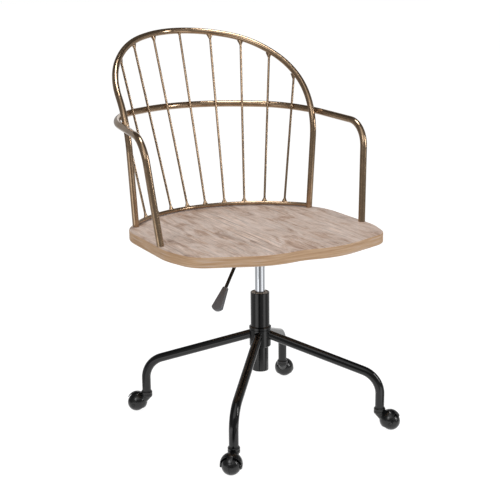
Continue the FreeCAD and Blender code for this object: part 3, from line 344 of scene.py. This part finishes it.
def grey_acetal():
    """Moulded acetal of the guide bush: matt grey and slightly waxy."""
    made, tree = new_material("moulded_grey_acetal")
    # Grain of the mould, 1 mm across.
    grain = noise(tree, object_place(tree), 0.001, 2.0)
    principled(tree, {
        "Base Color": hex_to_linear(look("chair_base").grey), "Roughness": ranged(tree, grain, 0.42, 0.55),
        "IOR": 1.48})
    return made


def plated_steel(name, spacing, low, high):
    """Zinc-plated or ground steel: grey metal whose crystals or grinding marks vary its gloss."""
    made, tree = new_material(name)
    grain = noise(tree, object_place(tree), spacing, 3.0)
    principled(tree, {
        "Base Color": hex_to_linear(look("chair_base").steel), "Metallic": 1.0,
        "Roughness": ranged(tree, grain, low, high)})
    return made


def satin_nylon_painted_sheen():
    """Moulded black nylon from a sand-blasted mould, for the lever's paddle; its grey base colour is a painted sheen
    that stands in for the glare of the lamps on the paddle's face.
    """
    made, tree = new_material("satin_black_nylon_painted_sheen")
    # Blasted grain 0.5 mm across, drawn twice as coarse so that it shows.
    grain = noise(tree, object_place(tree), 0.001, 2.0)
    # The grey base colour is the paddle's painted sheen, in place of its own black.
    principled(tree, {
        "Base Color": hex_to_linear(look("chair_base").paddle), "Roughness": ranged(tree, grain, 0.34, 0.48),
        "IOR": 1.53, "Normal": bumped(tree, grain, 0.1, 0.0001)})
    return made


FINISHES = {
    "washed_wood": limed_board,
    "bronze": bronzed_lacquer,
    "black_enamel": black_enamel,
    "black_plastic": black_nylon,
    "satin_plastic_painted_sheen": satin_nylon_painted_sheen,
    "chrome": hard_chrome,
    "grey_plastic": grey_acetal,
    "bright_steel": lambda: plated_steel("ground_bearing_steel", 0.0006, 0.15, 0.3),
    "zinc_steel": lambda: plated_steel("zinc_plated_steel", 0.0015, 0.28, 0.5),
}
MADE = {}


def finish(slot):
    if slot not in MADE:
        MADE[slot] = FINISHES[slot]()
    return MADE[slot]


def dress(names, slot):
    """Give CAD nodes the finish of a slot and smooth shading on their round faces."""
    for name in names:
        node = NODES[name]
        node.data.materials.clear()
        node.data.materials.append(finish(slot))
        smooth(node)


def smooth(piece, angle=32):
    """Smooth shading, with a crease wherever two faces meet at more than `angle` degrees."""
    piece.data.shade_smooth()
    piece.data.set_sharp_from_angle(angle=math.radians(angle))


def named(*starts):
    return sorted(name for name in NODES if name.startswith(starts))


# Pieces

def piece_from(name, made, slot, body):
    """Turn a bmesh into a piece with a finish that rides on a body."""
    mesh = bpy.data.meshes.new(name)
    made.to_mesh(mesh)
    made.free()
    for polygon in mesh.polygons:
        polygon.use_smooth = True
    piece = bpy.data.objects.new(name, mesh)
    bpy.context.scene.collection.objects.link(piece)
    mesh.materials.append(finish(slot))
    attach(piece, body)
    return piece


def centre_line(name):
    """The two ends of a straight rod, from its mesh."""
    points = np.array([v.co for v in NODES[name].data.vertices])
    middle = points.mean(0)
    axis = np.linalg.svd(points - middle)[2][0]
    axis *= 1 if axis[2] > 0 else -1
    along = (points - middle) @ axis
    return Vector(middle + axis * along.min()), Vector(middle + axis * along.max())


# The spindles' welds: radius of the beads' path, and a fillet's radius at its top, half width across the tube and
# depth below the spindle's end.
BEAD_PATH = 3.1 * MM
FILLET_TOP = 3.05 * MM
FILLET_HALF = 4.2 * MM
FILLET_DEPTH = 1.5 * MM


def weld_ring(made, centre, axis, radius, bead, ripples=14, swell=0.18):
    """A bead round a rod, with ripples that swell it by a share of its thickness."""
    axis = axis.normalized()
    side = axis.orthogonal().normalized()
    other = axis.cross(side)
    steps, sides = 28, 8
    rows = []
    for i in range(steps):
        turn = 2 * math.pi * i / steps
        out = side * math.cos(turn) + other * math.sin(turn)
        size = bead * (1 + swell * math.sin(ripples * turn))
        row = []
        for j in range(sides):
            spin = 2 * math.pi * j / sides
            reach = radius + size * math.cos(spin)
            row.append(made.verts.new(centre + out * reach + axis * size * math.sin(spin)))
        rows.append(row)
    for row, ahead in zip(rows, rows[1:] + rows[:1]):
        for j in range(sides):
            following = (j + 1) % sides
            made.faces.new([row[j], ahead[j], ahead[following], row[following]])


def weld_fillet(made, centre, axis, run, rod, long, wide, high, under):
    """A hollow fillet that spreads a rod's end along the tube it is welded to.

    It reaches `long` along the tube and `wide` across it, climbs `high` up the rod and dips `under` below its end.
    """
    axis = axis.normalized()
    run = (run - axis * run.dot(axis)).normalized()
    across = axis.cross(run)
    steps, levels = 24, 7
    rows = []
    for k in range(levels + 1):
        share = k / levels
        spread = (1 - share) ** 1.3
        height = high * share - under * (1 - share) ** 4
        row = []
        for i in range(steps):
            turn = 2 * math.pi * i / steps
            ripple = 1 + 0.05 * math.sin(5 * turn + 3 * share)
            x = (rod + (long - rod) * spread * ripple) * math.cos(turn)
            y = (rod + (wide - rod) * spread * ripple) * math.sin(turn)
            row.append(made.verts.new(centre + run * x + across * y + axis * height))
        rows.append(row)
    for low, top in zip(rows, rows[1:]):
        for i in range(steps):
            made.faces.new([low[i], low[(i + 1) % steps], top[(i + 1) % steps], top[i]])
    made.faces.new(list(reversed(rows[0])))
    made.faces.new(rows[-1])


def crossing(start, end, name):
    """The point of a rod nearest to a bent tube, from the tube's mesh.

    It's the middle of the tube's points that lie within 6 mm of the nearest one, away from the rod's ends.
    """
    points = np.array([v.co for v in NODES[name].data.vertices])
    line = np.array(end - start)
    length = np.linalg.norm(line)
    line /= length
    offset = points - np.array(start)
    along = offset @ line
    away = np.linalg.norm(offset - np.outer(along, line), axis=1)
    near = (along > 0.1 * length) & (along < 0.95 * length)
    chosen = np.where(near & (away < away[near].min() + 0.006))[0]
    return start + Vector(line) * float(np.median(along[chosen]))


class CHAIR_OT_seat(bpy.types.Operator):
    """Finish the limed wooden seat board."""

    bl_idname = "chair.seat"
    bl_label = "Seat board"

    def execute(self, context):
        dress(["seat_panel"], "washed_wood")
        dress(["seat_screws", "seat_inserts"], "zinc_steel")
        return {"FINISHED"}


class CHAIR_OT_back(bpy.types.Operator):
    """Finish the hoop, the arm rail, the lower rail and the spindles."""

    bl_idname = "chair.back"
    bl_label = "Back frame"

    def execute(self, context):
        dress(["hoop", "arm_rail", "lower_rail"] + named("spindle_"), "bronze")
        dress(["frame_plugs", "frame_bolts"], "zinc_steel")
        return {"FINISHED"}


class CHAIR_OT_welds(bpy.types.Operator):
    """Add the weld beads at the feet, the heads and the crossings of the spindles."""

    bl_idname = "chair.welds"
    bl_label = "Weld beads"

    def execute(self, context):
        frame = look("chair_frame")
        ends = [centre_line(name) for name in named("spindle_")]
        rings, fillets = bmesh.new(), bmesh.new()
        for i, (foot, head) in enumerate(ends):
            before, after = ends[max(i - 1, 0)], ends[min(i + 1, len(ends) - 1)]
            axis = (head - foot).normalized()
            weld_ring(rings, crossing(foot, head, "arm_rail"), axis, BEAD_PATH, frame.weld)
            for end, up, run in ((foot, axis, after[0] - before[0]), (head, -axis, after[1] - before[1])):
                weld_fillet(fillets, end, up, run, FILLET_TOP, frame.spread, FILLET_HALF, frame.rise, FILLET_DEPTH)
        piece_from("arm_rail_welds", rings, "bronze", "seat_unit")
        piece_from("spindle_welds", fillets, "bronze", "seat_unit")
        return {"FINISHED"}


class CHAIR_OT_column(bpy.types.Operator):
    """Finish the gas column and the mechanism under the seat."""

    bl_idname = "chair.column"
    bl_label = "Column and mechanism"

    def execute(self, context):
        dress(["gas_cylinder"], "chrome")
        dress(["guide_bush"], "grey_plastic")
        dress(["piston_rod", "thrust_bearing", "thrust_washer", "retaining_clip", "release_pin"], "bright_steel")
        dress(["column_tube", "hub", "hub_ring", "mechanism_plate", "mechanism_box", "column_socket"], "black_enamel")
        dress(["end_plate"], "zinc_steel")
        return {"FINISHED"}


class CHAIR_OT_lever(bpy.types.Operator):
    """Finish the height lever."""

    bl_idname = "chair.lever"
    bl_label = "Height lever"

    def execute(self, context):
        dress(["lever_rod", "lever_bracket"], "black_enamel")
        # The paddle gets black nylon whose base colour carries a painted grey sheen.
        dress(["lever_paddle"], "satin_plastic_painted_sheen")
        dress(["lever_pivot_pin"], "zinc_steel")
        return {"FINISHED"}


class CHAIR_OT_base(bpy.types.Operator):
    """Finish the four legs and their caster sockets."""

    bl_idname = "chair.base"
    bl_label = "Base"

    def execute(self, context):
        dress(named("leg_"), "black_enamel")
        dress(["caster_sockets"], "black_plastic")
        return {"FINISHED"}


class CHAIR_OT_casters(bpy.types.Operator):
    """Finish the four ball casters."""

    bl_idname = "chair.casters"
    bl_label = "Ball casters"

    def execute(self, context):
        dress(named("caster_housing_", "caster_wheel_"), "black_plastic")
        dress(named("caster_stem_"), "bright_steel")
        dress(named("caster_axle_"), "black_enamel")
        return {"FINISHED"}


# The cards round the set: from and to, in degrees to the right of the line of sight, and how bright they look
# on the floor, on the wall and overhead. Upright tubes mirror the floor, and level ones the wall and overhead.
CARDS = ((-14, 14, 0.9, 1.0, 0.03), (14, 60, 0.66, 0.4, 0.03), (60, 84, 0.54, 0.3, 0.05), (84, 112, 0.46, 0.2, 0.15),
         (112, 140, 1.5, 0.3, 0.4), (140, 158, 0.46, 0.25, 0.8), (158, 179, 0.36, 0.2, 1.2), (179, 193, 0.08, 0.2, 1.2),
         (193, 205, 0.46, 0.25, 0.8), (205, 238, 1.5, 0.3, 0.4), (238, 300, 0.5, 0.2, 0.15), (300, 346, 0.66, 0.4, 0.03))
# The cards' profile from the floor up the wall and over to the middle, as reach and height in metres.
CARD_PROFILE = ((0.45, 0.004), (3.4, 0.004), (3.4, 2.2), (0.1, 3.5))
# A facet of a card spans about this many degrees.
CARD_FACET = 8
# Half width of the floor, and how far it lies under the wheels, in metres.
FLOOR_HALF = 90.0
FLOOR_DROP = 0.0002


def area_lamp(name, place, target, size, power):
    """A rectangular lamp that points at a target."""
    lamp = bpy.data.lights.new(name, "AREA")
    lamp.shape = "RECTANGLE"
    lamp.size, lamp.size_y = size
    lamp.energy = power
    made = bpy.data.objects.new(name, lamp)
    made.location = place
    made.rotation_euler = (Vector(target) - Vector(place)).to_track_quat("-Z", "Y").to_euler()
    bpy.context.scene.collection.objects.link(made)


def seen_straight(tree):
    """1 for what the camera, a mirror or clear glass shows, and 0 for soft light."""
    path = add(tree, "ShaderNodeLightPath").outputs
    seen = calc(tree, "MAXIMUM", path["Is Camera Ray"], path["Is Glossy Ray"])
    return calc(tree, "MAXIMUM", seen, path["Is Transmission Ray"])


def white_paper(studio):
    """Seamless white paper: matt, and shown as white to the camera but for the object's shadow."""
    made, tree = new_material("seamless_white_paper")
    paper = add(tree, "ShaderNodeBsdfDiffuse", {"Color": grey(0.86)})
    glow = add(tree, "ShaderNodeEmission", {"Color": grey(1.0), "Strength": studio.paper_glow})
    part = calc(tree, "MULTIPLY", seen_straight(tree), studio.paper_share)
    surface = add(tree, "ShaderNodeMixShader", {0: part, 1: paper.outputs["BSDF"], 2: glow.outputs["Emission"]})
    add(tree, "ShaderNodeOutputMaterial", {"Surface": surface.outputs["Shader"]})
    return made


def card_paint(name, glow):
    """Card of an even tone: its glow is all that a glossy tube sees of it."""
    made, tree = new_material(name)
    shade = add(tree, "ShaderNodeEmission", {"Color": grey(1.0), "Strength": glow})
    add(tree, "ShaderNodeOutputMaterial", {"Surface": shade.outputs["Emission"]})
    return made


def reflected_cards(scene, studio):
    """Grey and black cards round the set, seen only in reflections, that shape the shine of the tubes."""
    made = bmesh.new()
    glows = sorted({glow for card in CARDS for glow in card[2:]})
    for start, end, *card_glows in CARDS:
        steps = max(2, round((end - start) / CARD_FACET))
        rows = []
        for i in range(steps + 1):
            turn = studio.heading + math.radians(start + (end - start) * i / steps)
            side, back = math.sin(turn), math.cos(turn)
            rows.append([made.verts.new((side * reach, back * reach, height)) for reach, height in CARD_PROFILE])
        for a, b in zip(rows, rows[1:]):
            for k, glow in enumerate(card_glows):
                made.faces.new([a[k], b[k], b[k + 1], a[k + 1]]).material_index = glows.index(glow)
    mesh = bpy.data.meshes.new("studio_cards")
    made.to_mesh(mesh)
    made.free()
    cards = bpy.data.objects.new("studio_cards", mesh)
    for number, glow in enumerate(glows):
        mesh.materials.append(card_paint(f"studio_card_tone_{number}", glow))
    scene.collection.objects.link(cards)
    cards.visible_camera = False
    cards.visible_diffuse = False
    cards.visible_shadow = False
    cards.visible_transmission = False


class CHAIR_OT_studio(bpy.types.Operator):
    """Set the floor, the world, the lamps and the camera."""

    bl_idname = "chair.studio"
    bl_label = "Studio"

    def execute(self, context):
        scene = context.scene
        studio = look("chair_studio")
        made = bmesh.new()
        bmesh.ops.create_grid(made, x_segments=1, y_segments=1, size=FLOOR_HALF)
        mesh = bpy.data.meshes.new("studio_floor")
        made.to_mesh(mesh)
        made.free()
        floor = bpy.data.objects.new("studio_floor", mesh)
        floor.location = (0, 0, -FLOOR_DROP)
        mesh.materials.append(white_paper(studio))
        scene.collection.objects.link(floor)
        self.light_world(scene, studio)
        reflected_cards(scene, studio)
        area_lamp("key_lamp", (-2.6, -2.2, 2.6), (0, 0, 0.5), (0.5, 1.6), studio.key)
        area_lamp("fill_lamp", (2.4, -2.0, 1.6), (0, 0, 0.45), (0.4, 1.6), studio.fill)
        area_lamp("top_lamp", (0.2, 0.4, 3.0), (0, 0, 0.4), (0.8, 0.8), studio.top)
        self.place_camera(scene, studio)
        scene.view_settings.view_transform = "Standard"
        return {"FINISHED"}

    def light_world(self, scene, studio):
        """A white world, dimmer as light than as it looks."""
        world = bpy.data.worlds.new("studio_world")
        world.use_nodes = True
        tree = world.node_tree
        tree.nodes.clear()
        strength = ranged(tree, seen_straight(tree), studio.sky, 1.0)
        sky = add(tree, "ShaderNodeBackground", {"Color": grey(1.0), "Strength": strength})
        add(tree, "ShaderNodeOutputWorld", {"Surface": sky.outputs["Background"]})
        scene.world = world

    def place_camera(self, scene, studio):
        camera = bpy.data.cameras.new("studio_camera")
        camera.sensor_fit = "HORIZONTAL"
        camera.sensor_width = 36.0
        camera.lens = studio.lens
        camera.clip_end = 50.0
        ahead = Vector((math.sin(studio.heading) * math.cos(studio.tilt),
                        math.cos(studio.heading) * math.cos(studio.tilt), -math.sin(studio.tilt)))
        right = ahead.cross(Vector((0, 0, 1))).normalized()
        up = right.cross(ahead)
        lean = studio.roll
        right, up = (right * math.cos(lean) + up * math.sin(lean), up * math.cos(lean) - right * math.sin(lean))
        turn = Matrix((right, up, -ahead)).transposed().to_4x4()
        made = bpy.data.objects.new("studio_camera", camera)
        made.matrix_world = Matrix.Translation(Vector(studio.place)) @ turn
        scene.collection.objects.link(made)
        scene.camera = made


OPERATORS = (CHAIR_OT_seat, CHAIR_OT_back, CHAIR_OT_welds, CHAIR_OT_column, CHAIR_OT_lever, CHAIR_OT_base,
             CHAIR_OT_casters, CHAIR_OT_studio)


class CHAIR_PT_panel(bpy.types.Panel):
    """Lists the chair's steps in the sidebar."""

    bl_idname = "CHAIR_PT_panel"
    bl_label = "Chair"
    bl_space_type = "VIEW_3D"
    bl_region_type = "UI"
    bl_category = "Chair"

    def draw(self, context):
        column = self.layout.column()
        for operator in OPERATORS:
            column.operator(operator.bl_idname, text=operator.bl_label)


def register():
    for group in GROUPS.values():
        bpy.utils.register_class(group)
    for operator in OPERATORS:
        bpy.utils.register_class(operator)
    bpy.utils.register_class(CHAIR_PT_panel)
    for name, group in GROUPS.items():
        setattr(bpy.types.Scene, name, bpy.props.PointerProperty(type=group))


def unregister():
    for name in GROUPS:
        delattr(bpy.types.Scene, name)
    bpy.utils.unregister_class(CHAIR_PT_panel)
    for operator in reversed(OPERATORS):
        bpy.utils.unregister_class(operator)
    for group in reversed(GROUPS.values()):
        bpy.utils.unregister_class(group)


def main():
    register()
    for operator in OPERATORS:
        group, name = operator.bl_idname.split(".")
        getattr(getattr(bpy.ops, group), name)()


if __name__ == "__main__":
    main()
